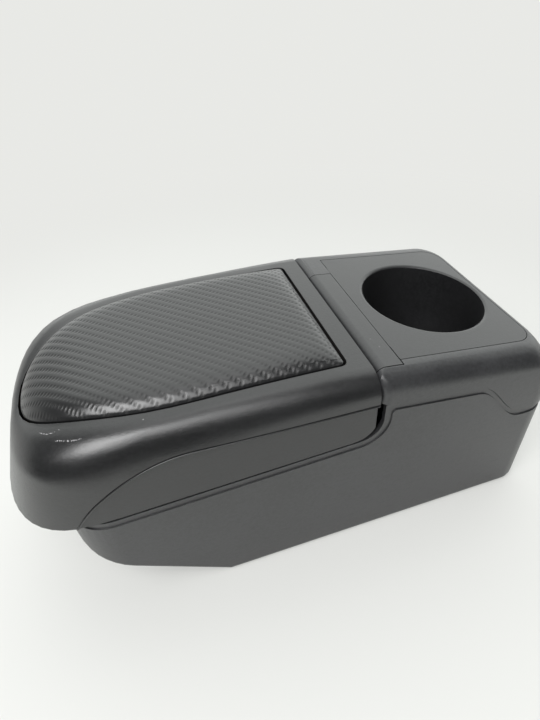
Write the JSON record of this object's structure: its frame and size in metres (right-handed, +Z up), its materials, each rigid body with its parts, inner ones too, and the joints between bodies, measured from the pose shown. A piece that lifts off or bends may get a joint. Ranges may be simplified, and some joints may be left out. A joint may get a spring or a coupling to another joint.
{
  "type": "car centre armrest",
  "caption": "Car centre armrest box with a padded flip-up lid over a storage tub and a round cup holder in the sloping rear top.",
  "frame": {"origin": "centre of the flat base the tub stands on, midway between the lid's nose and the back wall", "axes": "+X runs along the box from the lid's nose to the cup holder end, +Y across the box, +Z up; the lid hinges about an axis along +Y"},
  "size_m": [0.3291, 0.145, 0.1422],
  "materials": {
    "shell_plastic": "fine grained satin charcoal plastic",
    "plate_plastic": "smooth matt charcoal plastic",
    "pad_vinyl": "black vinyl embossed with a diagonal twill weave",
    "board": "plain",
    "steel": "zinc plated",
    "bumper_rubber": "matt black rubber"
  },
  "bodies": {
    "base": {"lower_tub": "shell_plastic", "rear_housing": "shell_plastic", "cup_plate": "plate_plastic", "hinge_cover": "plate_plastic", "hinge_pin_near": "steel", "hinge_pin_far": "steel", "bumper_near": "bumper_rubber", "bumper_far": "bumper_rubber", "housing_screws": "steel", "cover_screws": "steel", "plate_screws": "steel"},
    "lid": {"lid_shell": "shell_plastic", "lid_inner": "shell_plastic", "lid_pad": "pad_vinyl", "pad_board": "board", "lid_screws": "steel", "pad_screws": "steel"}
  },
  "joints": [
    {"name": "lid_hinge", "type": "hinge", "parent": "base", "child": "lid", "pos_m": [0.0457, 0, 0.13079], "axis": [0, 1, 0], "range_deg": [0, 95]}
  ]
}
